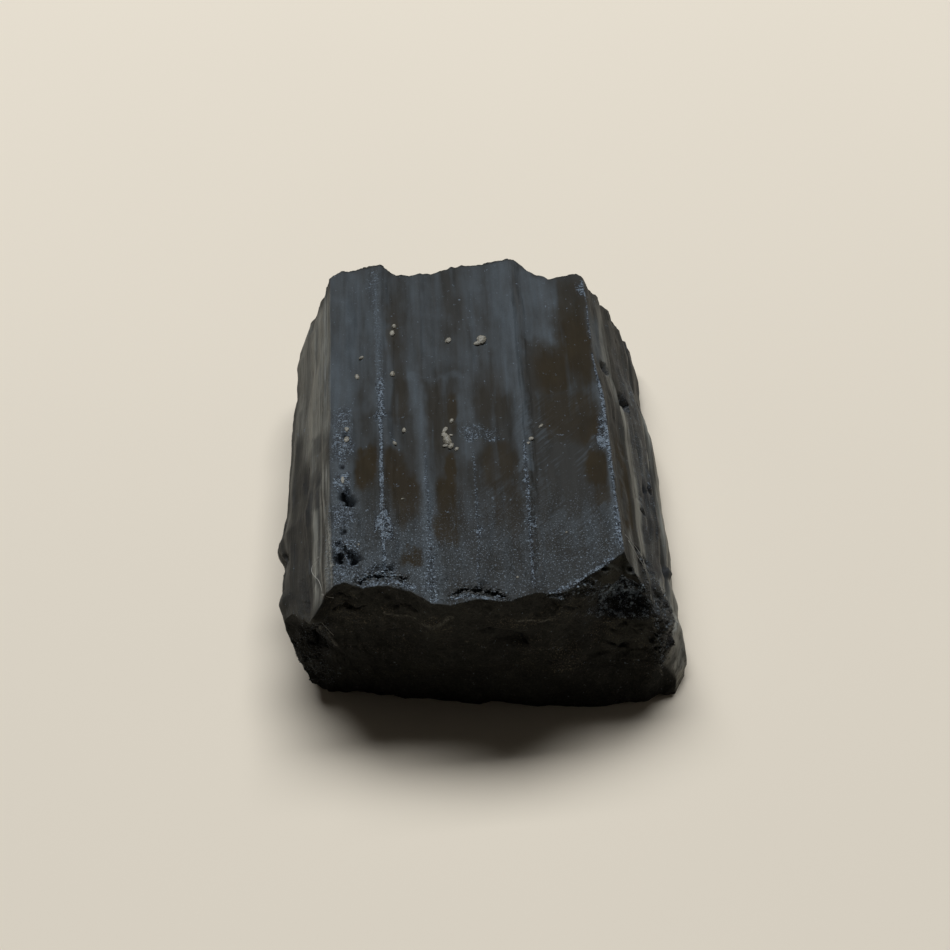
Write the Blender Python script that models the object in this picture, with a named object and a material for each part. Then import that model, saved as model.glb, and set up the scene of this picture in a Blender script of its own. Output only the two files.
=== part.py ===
"""Tourmaline crystal: one broken length of a striated black prism, lying on a prism face.

The long axis runs along Y with the nearer broken end at -Y. The origin is on the resting
face, below the middle of the piece. The solid starts as a subdivided box, and each of its
points is moved to the place that the cross-section and the two broken ends give it.
"""

import math

import bmesh
import bpy
from mathutils import Vector, noise

MM = 0.001

# Overall height and half length, mm
HEIGHT = 11.6
HALF_LENGTH = 20.5

# Middle of the tracks below, moved onto the origin, mm
MIDDLE_X = 0.08
MIDDLE_Y = 0.17

# Divisions of the starting box: across the top, up each side, along the crystal
COLUMNS = 30
ROWS = 11
STATIONS = 50

# The long edges, as (y, x) in mm
LEFT_RIDGE = ((-18.0, -11.0), (-5.0, -11.4), (17.0, -11.7))
RIGHT_RIDGE = ((-14.9, 10.2), (2.7, 10.2), (7.3, 9.8), (13.7, 9.95), (20.0, 9.6))
RIGHT_FLANK = ((-19.4, 14.4), (-6.5, 14.5), (9.0, 14.25), (16.0, 14.1), (20.5, 13.6))
LEFT_FLANK = (
    (-17.4, -14.7),
    (-14.5, -15.2),
    (-11.7, -15.1),
    (-10.1, -15.2),
    (-7.7, -15.45),
    (-5.0, -15.05),
    (1.0, -14.9),
    (6.2, -14.8),
    (9.3, -14.5),
    (13.3, -14.7),
    (15.3, -14.5),
    (20.5, -13.3),
)

# Flutes of the top face, as (share of the way across at the near end, at the far end, mm below the top)
FLUTES = (
    (0.0, 0.0, 0.25),
    (0.05, 0.05, 0.08),
    (0.10, 0.11, 0.40),
    (0.155, 0.165, 0.15),
    (0.18, 0.195, 0.02),
    (0.23, 0.25, 0.42),
    (0.325, 0.35, 0.06),
    (0.39, 0.41, 0.40),
    (0.455, 0.485, 0.12),
    (0.52, 0.53, 0.22),
    (0.60, 0.63, 0.48),
    (0.675, 0.715, 0.0),
    (0.72, 0.76, 0.38),
    (0.80, 0.83, 0.46),
    (0.92, 0.93, 0.30),
    (1.0, 1.0, 0.0),
)

# Steps down each side, as (share of the way down, mm that the step stands out)
LEFT_STEPS = ((0.0, 0.0), (0.14, 0.16), (0.22, -0.08), (0.44, 0.18), (0.52, -0.06), (0.8, 0.16), (1.0, 0.0))
RIGHT_STEPS = ((0.0, 0.0), (0.2, 0.2), (0.28, -0.1), (0.58, 0.2), (0.66, -0.1), (0.9, 0.14), (1.0, 0.0))
LEFT_FLANK_Z = 6.0
RIGHT_FLANK_Z = 4.2

# Below each flank, as (mm outside the flank, z)
UNDERCUT = ((-0.1, 5.0), (-0.35, 3.9), (-0.9, 2.4), (-1.9, 0.6), (-2.8, 0.0))
SECOND_RIDGE = (0.75, 10.3)
LEDGE = ((-0.35, 3.7), (0.5, 3.3), (1.05, 1.4), (0.8, 0.0))

# Grooves of the resting face on both sides of its flat, as (mm in from the side, mm deep)
GROOVES = ((0.0, 0.0), (1.4, 0.0), (2.2, 0.3), (3.0, 0.0), (4.0, 0.0), (4.9, 0.22), (5.8, 0.0))

# Edges of the two broken ends at the top and at the foot, as (x, y) in mm
NEAR_TOP_EDGE = (
    (-15.3, -16.0),
    (-13.5, -18.0),
    (-11.6, -18.3),
    (-10.3, -17.9),
    (-7.0, -18.5),
    (-5.5, -18.9),
    (-4.0, -20.2),
    (2.0, -20.0),
    (5.3, -19.4),
    (7.6, -17.7),
    (10.2, -15.7),
    (12.5, -17.4),
)
NEAR_FOOT_EDGE = (
    (-14.8, -16.4),
    (-13.6, -17.8),
    (-9.1, -18.4),
    (-3.5, -19.3),
    (5.5, -20.2),
    (8.9, -20.5),
    (14.3, -19.4),
    (15.5, -17.0),
)
FAR_TOP_EDGE = (
    (-13.2, 17.6),
    (-11.7, 18.9),
    (-10.6, 19.8),
    (-9.0, 20.4),
    (-7.1, 20.3),
    (-4.9, 18.8),
    (-2.3, 19.7),
    (-1.0, 19.8),
    (1.2, 20.9),
    (3.9, 20.8),
    (6.9, 18.2),
    (9.3, 18.5),
    (10.6, 17.2),
    (12.7, 19.6),
    (13.8, 19.8),
)
FAR_FOOT_EDGE = ((-13.0, 18.6), (-4.0, 19.6), (5.0, 20.2), (13.0, 19.2))

# Hollows of the near end, and a spur where the depth is negative, as (x, z, half width, half height, depth)
NEAR_HOLLOWS = (
    (10.2, 8.5, 2.9, 1.8, 1.0),
    (1.7, 7.2, 1.8, 1.2, 0.5),
    (-13.4, 5.6, 1.9, 2.8, 1.1),
    (15.2, 4.4, 2.4, 3.6, 3.4),
    (-12.6, 9.1, 1.5, 1.7, -1.1),
)

# Pits in the top and sides, as (x, y, z, radius, depth)
PITS = (
    (-10.1, -8.9, 11.4, 1.1, 0.6),
    (-10.0, -15.4, 11.4, 1.3, 0.7),
    (-7.3, -17.0, 11.4, 1.4, 0.45),
    (-0.3, -19.1, 11.4, 1.3, 0.35),
    (11.3, 9.9, 8.2, 1.1, 0.7),
    (12.6, 5.0, 8.0, 1.0, 0.7),
    (13.4, -5.6, 8.0, 1.3, 0.7),
    (13.3, -13.0, 8.0, 1.3, 0.8),
    (14.3, -14.5, 4.0, 1.4, 0.5),
    (-15.4, -10.1, 6.0, 1.2, 0.6),
)

ROUGHNESS = 0.10
END_ROUGHNESS = 0.30


def along(track, at):
    """Value of a track of (position, value) pairs at a position, held past its ends."""
    if at <= track[0][0]:
        return track[0][1]
    for (start, low), (end, high) in zip(track, track[1:]):
        if at <= end:
            return low + (high - low) * (at - start) / (end - start)
    return track[-1][1]


def spread(corners, share):
    """Point a share of the way along a line of corners, each corner keeping its own share."""
    place = min(share, 1.0) * (len(corners) - 1)
    index = min(int(place), len(corners) - 2)
    return Vector(corners[index]).lerp(Vector(corners[index + 1]), place - index)


def stepped(start, end, steps):
    """Corners from start to end in (x, z), with steps standing out across the line."""
    line = Vector(end) - Vector(start)
    outward = Vector((line.y, -line.x)).normalized()
    if (outward.x > 0) != (line.x > 0):
        outward = -outward
    return [Vector(start) + line * share + outward * height for share, height in steps]


def top_corners(y):
    left, right = along(LEFT_RIDGE, y), along(RIGHT_RIDGE, y)
    back = min(max(y / (2 * HALF_LENGTH) + 0.5, 0.0), 1.0)
    corners = []
    for near, far, drop in FLUTES:
        share = near + (far - near) * back
        corners.append(Vector((left + (right - left) * share, HEIGHT - drop)))
    return corners


def foot_corners(left, right):
    """The resting face's corners, flat in the middle with grooves towards both sides."""
    near = [left + Vector((inset, depth)) for inset, depth in GROOVES]
    far = [right + Vector((-inset, depth)) for inset, depth in GROOVES]
    middle = [near[-1].lerp(far[-1], share) for share in (1 / 3, 2 / 3)]
    return near + middle + far[::-1]


def left_corners(y):
    """The left side's corners from the resting face up to the ridge."""
    flank = Vector((along(LEFT_FLANK, y), LEFT_FLANK_Z))
    above = stepped(top_corners(y)[0], flank, LEFT_STEPS)
    below = [Vector((flank.x - out, z)) for out, z in UNDERCUT]
    return (above + below)[::-1]


def right_corners(y):
    """The right side's corners from the resting face up to the ridge."""
    ridge = top_corners(y)[-1]
    second = Vector((ridge.x + SECOND_RIDGE[0], SECOND_RIDGE[1]))
    flank = Vector((along(RIGHT_FLANK, y), RIGHT_FLANK_Z))
    below = [Vector((flank.x + out, z)) for out, z in LEDGE]
    return ([ridge] + stepped(second, flank, RIGHT_STEPS) + below)[::-1]


def section(across, up, y):
    """Place (x, z) in the cross-section at y, for shares across and up the starting box."""
    left, right = left_corners(y), right_corners(y)
    low, high = spread(foot_corners(left[0], right[0]), across), spread(top_corners(y), across)
    near, far = spread(left, up), spread(right, up)
    corners = (
        left[0] * (1 - across) * (1 - up)
        + right[0] * across * (1 - up)
        + left[-1] * (1 - across) * up
        + right[-1] * across * up
    )
    return low * (1 - up) + high * up + near * (1 - across) + far * across - corners


def dome(distance):
    """A smooth bump, 1 at no distance and 0 from a distance of 1."""
    return (1 - min(distance, 1.0) ** 2) ** 2


def near_end(x, z):
    level = min(max(z / HEIGHT, 0.0), 1.0)
    y = along(NEAR_FOOT_EDGE, x) * (1 - level) + along(NEAR_TOP_EDGE, x) * level
    for at_x, at_z, wide, high, depth in NEAR_HOLLOWS:
        y += depth * dome(math.hypot((x - at_x) / wide, (z - at_z) / high))
    return y + END_ROUGHNESS * grain(Vector((x, 0.0, z)), 2.6)


def far_end(x, z):
    level = min(max(z / HEIGHT, 0.0), 1.0)
    y = along(FAR_FOOT_EDGE, x) * (1 - level) + along(FAR_TOP_EDGE, x) * level
    return y - END_ROUGHNESS * grain(Vector((x, 40.0, z)), 2.2)


def grain(place, scale):
    """Uneven surface value from -1 to 1 with lumps about as wide as the scale."""
    return noise.fractal(place / scale, 0.8, 2.0, 3)


def placed(across, up, share):
    """Place in mm of a point of the starting box, given as shares of its three sides."""
    y = (2 * share - 1) * HALF_LENGTH
    for _ in range(3):
        x, z = section(across, up, y)
        y = near_end(x, z) * (1 - share) + far_end(x, z) * share
    return Vector((x, y, z))


def pitted(point, normal):
    """The point pushed in where a pit lies and roughened a little along the normal."""
    push = ROUGHNESS * grain(Vector((point.x, point.y * 0.3, point.z)), 1.4)
    for x, y, z, radius, depth in PITS:
        push -= depth * dome((point - Vector((x, y, z))).length / radius)
    return point + normal * push


def starting_box(shape):
    """A unit box with its edges divided into columns, stations and rows."""
    bmesh.ops.create_cube(shape, size=1.0)
    bmesh.ops.translate(shape, vec=(0.5, 0.5, 0.5), verts=shape.verts)
    for axis, count in enumerate((COLUMNS, STATIONS, ROWS)):
        edges = [
            edge for edge in shape.edges
            if abs(edge.verts[0].co[axis] - edge.verts[1].co[axis]) > 0.5
        ]
        bmesh.ops.subdivide_edges(shape, edges=edges, cuts=count - 1, use_grid_fill=True)


def crystal_mesh():
    shape = bmesh.new()
    starting_box(shape)
    underside = [vert for vert in shape.verts if vert.co.z < 1e-6]
    for vert in shape.verts:
        across, share, up = vert.co
        vert.co = placed(across, up, share)
    shape.normal_update()
    outside = set(shape.verts) - set(underside)
    moved = {vert: pitted(vert.co, vert.normal) for vert in outside}
    for vert, place in moved.items():
        vert.co = place
    bmesh.ops.translate(shape, vec=(-MIDDLE_X, -MIDDLE_Y, 0.0), verts=shape.verts)
    bmesh.ops.scale(shape, vec=(MM, MM, MM), verts=shape.verts)
    bmesh.ops.triangulate(shape, faces=shape.faces)
    mesh = bpy.data.meshes.new("tourmaline_crystal")
    shape.to_mesh(mesh)
    shape.free()
    return mesh


def schorl():
    """Opaque brown-black stone with a glassy face."""
    material = bpy.data.materials.new("schorl")
    material.use_nodes = True
    shader = material.node_tree.nodes["Principled BSDF"]
    shader.inputs["Base Color"].default_value = (0.020, 0.019, 0.018, 1.0)
    shader.inputs["Roughness"].default_value = 0.42
    shader.inputs["Metallic"].default_value = 0.0
    return material


def clear_scene():
    for thing in list(bpy.data.objects):
        bpy.data.objects.remove(thing, do_unlink=True)


def main():
    clear_scene()
    collection = bpy.data.collections.new("tourmaline crystal")
    bpy.context.scene.collection.children.link(collection)
    crystal = bpy.data.objects.new("tourmaline_crystal", crystal_mesh())
    crystal.data.materials.append(schorl())
    collection.objects.link(crystal)


if __name__ == "__main__":
    main()
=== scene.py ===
"""Finish and staging of a broken black tourmaline crystal, laid out as a Blender add-on.

The crystal lies on a prism face with its long axis along Y and its nearer broken end at -Y.
Its fine surface starts as a subdivided box, as its plain solid does: the cross-section, the
flutes and the two broken ends place each point, and then striations, chips, pits and cracks
move it along its normal. The same fields colour it, through values kept on its points.
Tables are in millimetres; meshes are in metres.
"""

import math
import random

import bmesh
import bpy
import numpy as np
from bpy.props import FloatProperty, FloatVectorProperty, IntProperty, PointerProperty
from mathutils import Matrix, Vector, bvhtree, noise


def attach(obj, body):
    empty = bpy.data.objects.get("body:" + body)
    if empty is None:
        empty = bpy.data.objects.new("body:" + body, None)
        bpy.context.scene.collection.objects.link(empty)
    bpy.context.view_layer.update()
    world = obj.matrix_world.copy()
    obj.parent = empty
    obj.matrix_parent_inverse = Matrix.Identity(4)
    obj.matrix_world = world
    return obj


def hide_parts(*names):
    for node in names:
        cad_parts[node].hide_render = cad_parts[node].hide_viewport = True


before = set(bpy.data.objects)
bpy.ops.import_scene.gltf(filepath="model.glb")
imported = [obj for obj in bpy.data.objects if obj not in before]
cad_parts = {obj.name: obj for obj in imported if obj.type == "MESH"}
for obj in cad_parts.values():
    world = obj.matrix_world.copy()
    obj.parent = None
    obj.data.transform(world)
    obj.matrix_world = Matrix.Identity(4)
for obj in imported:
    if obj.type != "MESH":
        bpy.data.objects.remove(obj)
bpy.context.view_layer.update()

bl_info = {
    "name": "Black Tourmaline",
    "version": (1, 0, 0),
    "blender": (4, 5, 0),
    "location": "3D View > Sidebar > Tourmaline",
    "description": "Builds a broken, striated black tourmaline crystal with its dust, grains and lint",
    "category": "Add Mesh",
}

MM = 0.001
NODE = "tourmaline_crystal"
BODY = "root"

# Overall height and half length
HEIGHT = 11.6
HALF_LENGTH = 20.5

# Middle of the tracks below, moved onto the origin
MIDDLE = (0.08, 0.17, 0.0)

# Divisions of the starting box: across the top, along the crystal, up each side
DIVISIONS = (180, 200, 66)

# Share by which the stations crowd towards the near end
CROWDING = 0.4

# The long edges, as (y, x)
LEFT_RIDGE = ((-18.0, -11.0), (-5.0, -11.4), (17.0, -11.7))
RIGHT_RIDGE = ((-14.9, 10.2), (2.7, 10.2), (7.3, 9.8), (13.7, 9.95), (20.0, 9.6))
RIGHT_FLANK = (
    (-19.4, 14.45),
    (-14.8, 14.35),
    (-13.0, 14.0),
    (-11.3, 14.15),
    (-9.6, 14.0),
    (-6.0, 14.35),
    (-0.7, 14.2),
    (3.3, 14.35),
    (8.0, 14.25),
    (11.9, 13.7),
    (14.0, 13.7),
    (16.0, 13.85),
    (20.5, 13.4),
)
LEFT_FLANK = (
    (-17.4, -14.7),
    (-14.5, -15.2),
    (-11.7, -15.1),
    (-10.1, -15.2),
    (-7.7, -15.45),
    (-5.0, -15.05),
    (1.0, -14.9),
    (6.2, -14.8),
    (9.3, -14.5),
    (13.3, -14.7),
    (15.3, -14.5),
    (20.5, -13.3),
)

# Flutes of the top face, as (share of the way across at the near end, at the far end, drop)
FLUTES = (
    (0.0, 0.0, 0.25),
    (0.05, 0.05, 0.08),
    (0.10, 0.11, 0.40),
    (0.155, 0.165, 0.15),
    (0.18, 0.195, 0.02),
    (0.23, 0.25, 0.42),
    (0.325, 0.35, 0.06),
    (0.39, 0.41, 0.40),
    (0.455, 0.485, 0.12),
    (0.52, 0.53, 0.22),
    (0.60, 0.63, 0.48),
    (0.675, 0.715, 0.0),
    (0.72, 0.76, 0.38),
    (0.80, 0.83, 0.46),
    (0.92, 0.93, 0.30),
    (1.0, 1.0, 0.0),
)

# Steps down each side, as (share of the way down, how far the step stands out)
LEFT_STEPS = ((0.0, 0.0), (0.14, 0.16), (0.22, -0.08), (0.44, 0.18), (0.52, -0.06), (0.8, 0.16), (1.0, 0.0))
RIGHT_STEPS = ((0.0, 0.0), (0.2, 0.2), (0.28, -0.1), (0.58, 0.2), (0.66, -0.1), (0.9, 0.14), (1.0, 0.0))
LEFT_FLANK_Z = 6.0
RIGHT_FLANK_Z = 4.2

# Below each flank, as (distance outside the flank, z)
UNDERCUT = ((-0.1, 5.0), (-0.35, 3.9), (-0.9, 2.4), (-1.9, 0.6), (-2.8, 0.0))
SECOND_RIDGE = (0.75, 10.3)
LEDGE = ((-0.35, 3.7), (0.5, 3.3), (1.05, 1.4), (0.8, 0.0))

# Grooves of the resting face on both sides of its flat, as (distance in from the side, depth)
GROOVES = ((0.0, 0.0), (1.4, 0.0), (2.2, 0.3), (3.0, 0.0), (4.0, 0.0), (4.9, 0.22), (5.8, 0.0))

# Edges of the two broken ends at the top and at the foot, as (x, y)
NEAR_TOP_EDGE = (
    (-15.3, -16.0),
    (-13.5, -18.0),
    (-11.6, -18.3),
    (-10.3, -17.9),
    (-7.0, -18.5),
    (-5.5, -18.9),
    (-4.0, -20.2),
    (2.0, -20.0),
    (5.3, -19.4),
    (7.6, -17.7),
    (10.2, -15.7),
    (12.5, -17.4),
)
NEAR_FOOT_EDGE = (
    (-14.8, -16.4),
    (-13.6, -17.8),
    (-9.1, -18.4),
    (-3.5, -19.3),
    (5.5, -20.2),
    (8.9, -20.5),
    (14.3, -19.4),
    (15.5, -17.0),
)
FAR_TOP_EDGE = (
    (-13.2, 17.6),
    (-11.7, 18.9),
    (-10.6, 19.8),
    (-9.0, 20.4),
    (-7.1, 20.3),
    (-4.9, 18.8),
    (-2.3, 19.7),
    (-1.0, 19.8),
    (1.2, 20.9),
    (3.9, 20.8),
    (6.9, 18.2),
    (9.3, 18.5),
    (10.6, 17.2),
    (12.7, 19.6),
    (13.8, 19.8),
)
FAR_FOOT_EDGE = ((-13.0, 18.6), (-4.0, 19.6), (5.0, 20.2), (13.0, 19.2))

# Hollows of the near end, and a spur where the depth is negative, as (x, z, half width, half height, depth)
NEAR_HOLLOWS = (
    (10.2, 8.5, 2.9, 1.8, 1.0),
    (1.7, 7.2, 1.8, 1.2, 0.5),
    (-13.4, 5.6, 1.9, 2.8, 1.1),
    (15.2, 4.4, 2.4, 3.6, 3.4),
    (-12.6, 9.1, 1.5, 1.7, -1.1),
    (-12.1, 5.3, 1.0, 0.7, 0.7),
    (8.2, 9.0, 0.7, 0.6, 0.6),
    (9.5, 7.9, 0.5, 0.4, 0.45),
    (10.4, 8.6, 0.6, 0.5, -0.5),
    (11.4, 8.3, 0.6, 0.6, 0.2),
)

# Pits in the top and sides, as (x, y, z, radius, depth)
PITS = (
    (-10.1, -8.9, 11.4, 1.1, 0.6),
    (-10.0, -15.4, 11.4, 1.3, 0.7),
    (-7.3, -17.0, 11.4, 1.4, 0.45),
    (-0.3, -19.1, 11.4, 1.3, 0.35),
    (13.4, -5.6, 8.0, 1.3, 0.4),
    (13.3, -13.0, 8.0, 1.3, 0.8),
    (14.3, -14.5, 4.0, 1.4, 0.5),
    (-15.4, -10.1, 6.0, 1.2, 0.6),
)

# Cracks and pale scratches of the near face, as (half width, points of its line as (x, z))
FACE_CRACKS = (
    (0.07, ((-11.3, 10.2), (-10.6, 10.45), (-9.8, 10.1))),
    (0.06, ((-11.0, 9.0), (-10.4, 9.35), (-9.5, 9.1), (-8.9, 9.4))),
    (0.06, ((-6.6, 9.6), (-5.9, 10.1), (-4.9, 9.8))),
    (0.13, ((-0.4, 8.1), (0.5, 8.3), (1.2, 7.9), (1.7, 7.75), (2.0, 7.3), (2.7, 6.9))),
    (0.05, ((5.6, 9.9), (6.3, 9.2), (7.0, 9.3))),
    (0.06, ((9.4, 6.1), (10.3, 6.4), (11.0, 5.9), (11.6, 6.2))),
    (0.05, ((9.0, 5.2), (9.9, 4.5), (10.5, 4.7))),
    (0.05, ((-8.0, 7.2), (-7.0, 7.0), (-6.3, 7.3))),
    (0.05, ((3.9, 5.0), (4.7, 4.6), (5.2, 4.8))),
)
FACE_SCRATCHES = (
    (0.07, ((-4.6, 8.7), (-3.9, 8.9), (-3.2, 9.2), (-2.5, 9.8))),
    (0.05, ((-7.4, 9.0), (-6.2, 8.8), (-5.3, 8.9))),
    (0.06, ((11.9, 9.4), (12.2, 8.0), (12.4, 6.6), (12.7, 5.0), (12.9, 3.4), (13.2, 2.0))),
    (0.06, ((-13.0, 8.3), (-12.4, 7.4), (-11.6, 6.2), (-11.0, 5.2))),
    (0.05, ((2.2, 9.2), (3.6, 8.8), (4.8, 8.9))),
)

# Edge of the top that crumbles into the hollow of the near face, as (x, z)
CRUMBLED_EDGE = ((4.8, 11.3), (6.6, 10.9), (7.9, 10.0), (8.6, 9.2))

# Middle of the broken patch below the near left corner, as (x, z)
CORNER_BREAK = ((-12.6, 7.4), (-12.6, 5.4), (-13.6, 3.6), (-12.4, 1.8))

# Where light specks cluster on the near face, as (x, z, half width, half height, strength)
FLECKED_SPOTS = (
    (-10.2, 8.8, 2.0, 1.5, 0.8),
    (-6.5, 8.8, 1.6, 0.9, 0.6),
    (-3.6, 9.0, 1.2, 0.9, 0.9),
    (2.2, 8.9, 1.7, 0.6, 1.0),
    (6.0, 9.5, 1.5, 1.4, 0.7),
    (5.8, 4.9, 1.3, 1.3, 0.9),
    (9.0, 6.2, 1.3, 1.1, 0.8),
    (12.2, 4.0, 1.2, 2.2, 0.5),
    (3.2, 5.6, 1.2, 2.0, 0.5),
    (-8.0, 5.8, 3.0, 1.2, 0.3),
)

# Powdery wear on the near face, as (half width, strength, points of its line as (x, z))
FACE_WEAR = (
    (0.55, 0.20, ((4.9, 11.3), (6.7, 10.8), (8.0, 9.9))),
    (0.60, 0.28, ((8.0, 9.6), (8.8, 8.6), (9.4, 7.8))),
    (0.30, 1.00, ((9.3, 7.4), (10.4, 7.1), (11.8, 7.4))),
    (0.42, 0.95, ((9.6, 9.1), (10.8, 9.1), (12.0, 8.6))),
    (0.14, 0.50, ((10.9, 11.0), (11.8, 9.9), (12.3, 8.4), (12.6, 6.8), (13.0, 5.0), (13.3, 2.6))),
)

# Small deep holes with steep walls, as (x, y, z, radius, depth)
HOLES = (
    (-10.3, -8.7, 11.3, 0.55, 0.45),
    (-9.8, -9.1, 11.3, 0.4, 0.35),
    (-10.6, -15.0, 11.2, 0.45, 0.4),
    (-9.9, -15.9, 11.0, 0.5, 0.4),
    (-9.3, -15.3, 11.2, 0.35, 0.35),
    (-10.3, -12.6, 11.4, 0.3, 0.25),
    (-10.7, -13.8, 11.4, 0.28, 0.25),
    (-10.2, -1.8, 11.4, 0.3, 0.2),
    (-10.5, -5.4, 11.4, 0.3, 0.2),
    (10.8, 7.6, 10.1, 0.75, 0.5),
    (12.4, 5.8, 7.5, 1.05, 0.75),
    (13.3, -2.9, 6.0, 0.50, 0.3),
    (14.0, -2.0, 5.0, 0.50, 0.3),
    (12.8, -6.9, 7.3, 0.35, 0.3),
    (12.0, -14.6, 9.2, 0.5, 0.6),
    (11.6, -13.4, 9.6, 0.4, 0.5),
    (13.0, -15.8, 7.0, 0.55, 0.6),
    (13.6, -17.5, 5.6, 0.4, 0.4),
    (12.6, -18.6, 4.6, 0.35, 0.4),
    (14.2, -16.2, 3.7, 0.5, 0.4),
    (-12.6, -18.0, 5.2, 0.5, 0.5),
)

# Knobs standing out of the right side, as (x, y, z, radius, height)
KNOBS = (
    (14.6, -9.6, 3.1, 0.8, 0.4),
    (13.8, -17.6, 3.9, 0.6, 0.5),
    (-15.6, -8.1, 4.8, 1.5, 0.40),
    (-15.2, -14.5, 6.2, 1.3, 0.25),
)

# Cracks across the top near its front edge, as (half width, depth, points of its line as (x, y))
CRACKS = (
    (0.09, 0.45, ((-9.1, -17.9), (-8.6, -17.3), (-8.0, -17.0), (-7.2, -17.0), (-6.6, -17.1), (-5.9, -17.5))),
    (0.08, 0.35, ((-2.4, -19.3), (-1.7, -18.9), (-1.0, -19.1), (-0.4, -18.8), (0.6, -19.1), (1.4, -19.6))),
)

# Powdery wear along the ridges of the top, as (half width, strength, points of its line as (x, y))
WEAR_LINES = (
    (0.25, 0.26, ((-7.9, 19.0), (-7.65, 10.0), (-7.5, 4.0))),
    (0.22, 0.75, ((-7.5, 5.0), (-7.5, 0.5))),
    (0.12, 0.95, ((-7.5, 1.0), (-7.45, -8.0), (-7.45, -12.0), (-7.3, -16.5))),
    (0.14, 0.42, ((-4.1, -4.0), (-4.0, -10.0), (-3.9, -16.0), (-3.8, -20.0))),
    (0.10, 0.42, ((-0.4, -4.0), (-0.35, -13.0), (-0.6, -19.0))),
    (0.14, 0.60, ((3.6, -3.0), (3.55, -10.0), (3.45, -15.0), (3.4, -19.0))),
    (0.22, 0.60, ((10.1, 16.5), (9.9, 9.5))),
    (0.16, 0.90, ((9.9, 7.5), (10.15, 1.5), (10.1, -3.3), (10.2, -10.0), (10.2, -15.3))),
    (0.22, 0.8, ((-9.2, -18.3), (-7.6, -17.9), (-6.0, -18.0), (-5.2, -18.6))),
    (0.18, 0.8, ((-2.4, -19.6), (-1.0, -19.5), (0.8, -19.6))),
    (0.20, 0.7, ((4.6, -19.3), (6.3, -18.5), (7.6, -17.5), (9.2, -16.2))),
)

# Powdery patches on the top, as (x, y, half width, half length, strength)
WEAR_SPOTS = (
    (-7.5, 3.4, 0.32, 1.5, 0.62),
    (-7.5, 0.4, 0.5, 0.7, 0.7),
    (-7.45, -11.7, 0.5, 1.0, 1.0),
    (-7.1, -12.8, 0.55, 1.1, 0.7),
    (10.05, -3.3, 0.75, 0.9, 1.0),
    (9.95, -1.3, 0.4, 1.3, 0.7),
    (10.2, -13.0, 0.4, 2.0, 0.9),
    (10.0, 16.2, 0.8, 1.3, 0.7),
    (-0.3, -12.9, 0.3, 0.4, 0.9),
    (3.5, -7.7, 0.25, 0.35, 0.8),
    (3.6, -12.0, 0.35, 0.8, 0.6),
    (-0.6, -2.2, 0.5, 0.5, 0.62),
    (0.6, -2.35, 1.6, 0.26, 0.62),
    (0.2, -1.3, 1.6, 0.7, 0.42),
    (-10.6, 0.3, 0.7, 1.6, 0.5),
    (-10.5, -3.0, 0.9, 2.0, 0.6),
    (-10.5, -7.2, 0.7, 1.2, 0.7),
    (-10.4, -10.6, 0.9, 1.4, 0.6),
    (-10.3, -15.2, 0.9, 2.6, 0.47),
    (-7.9, -17.0, 1.6, 0.9, 0.55),
    (-3.9, -17.5, 0.5, 2.6, 0.45),
    (-8.0, 17.6, 0.5, 1.8, 0.35),
)

# Grey-blue film on the top, as (half width, strength, points of its line as (x, y))
FILM_LINES = (
    (1.5, 0.75, ((-10.3, 19.0), (-10.2, 12.0), (-10.6, 5.0))),
    (0.9, 0.80, ((-10.6, 4.0), (-10.5, -6.0), (-10.3, -17.0))),
    (1.0, 0.60, ((-7.9, 19.5), (-7.6, 2.0))),
    (0.25, 0.95, ((-7.9, 19.0), (-7.6, 3.0))),
    (0.7, 0.55, ((-7.3, 0.0), (-6.4, -4.5))),
    (0.5, 0.75, ((-4.9, 5.5), (-4.3, 0.0), (-4.05, -8.0), (-3.9, -20.0))),
    (1.6, 0.45, ((-4.2, 19.0), (-3.6, 6.0))),
    (0.5, 0.55, ((-5.2, 5.2), (-0.8, 5.4))),
    (1.1, 0.50, ((0.2, 20.0), (0.4, 5.0))),
    (0.7, 0.50, ((-0.7, 5.0), (-0.6, -4.0))),
    (1.0, 0.70, ((2.9, 20.5), (2.8, 10.0), (2.9, 4.0))),
    (0.5, 0.85, ((3.6, 14.0), (3.6, 0.0), (3.6, -6.0))),
    (0.9, 0.80, ((6.0, 18.0), (6.3, 13.0), (6.4, 9.5))),
    (0.8, 0.55, ((4.9, 19.0), (4.9, 11.0))),
    (0.35, 0.70, ((10.2, 15.0), (9.9, 7.0), (10.1, -15.0))),
    (1.4, 0.35, ((-10.0, -17.0), (-6.0, -15.5), (-3.9, -17.5))),
)

# Glassy brown patches on the top, as (x, y, half width, half length, strength)
GLASSY_SPOTS = (
    (8.6, 9.2, 1.45, 5.4, 1.0),
    (6.5, 6.0, 1.6, 2.9, 0.95),
    (8.6, 16.0, 1.1, 1.7, 0.5),
    (7.4, 0.4, 2.4, 3.0, 0.65),
    (8.9, -1.4, 1.0, 1.6, 0.8),
    (9.0, -6.3, 0.85, 2.0, 1.0),
    (9.2, -9.4, 0.65, 1.3, 0.7),
    (-8.6, -5.5, 0.8, 2.2, 0.95),
    (-6.4, -5.8, 0.9, 2.6, 0.8),
    (-5.6, -9.2, 1.1, 2.6, 0.85),
    (-2.2, -5.8, 0.45, 1.8, 0.9),
    (-2.5, -9.2, 0.75, 2.4, 1.0),
    (-2.7, -12.3, 0.95, 2.0, 1.0),
    (-5.3, -15.5, 0.8, 1.1, 1.25),
    (1.6, -5.4, 1.4, 2.6, 0.65),
    (2.0, -10.5, 1.1, 3.0, 0.5),
    (1.3, 3.0, 1.4, 3.4, 0.4),
    (-1.7, 1.0, 0.35, 2.4, 0.7),
    (-3.0, 0.5, 0.9, 4.5, 0.35),
    (-6.5, 11.5, 0.45, 3.6, 0.5),
    (-5.9, 3.0, 0.7, 3.0, 0.45),
)

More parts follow.
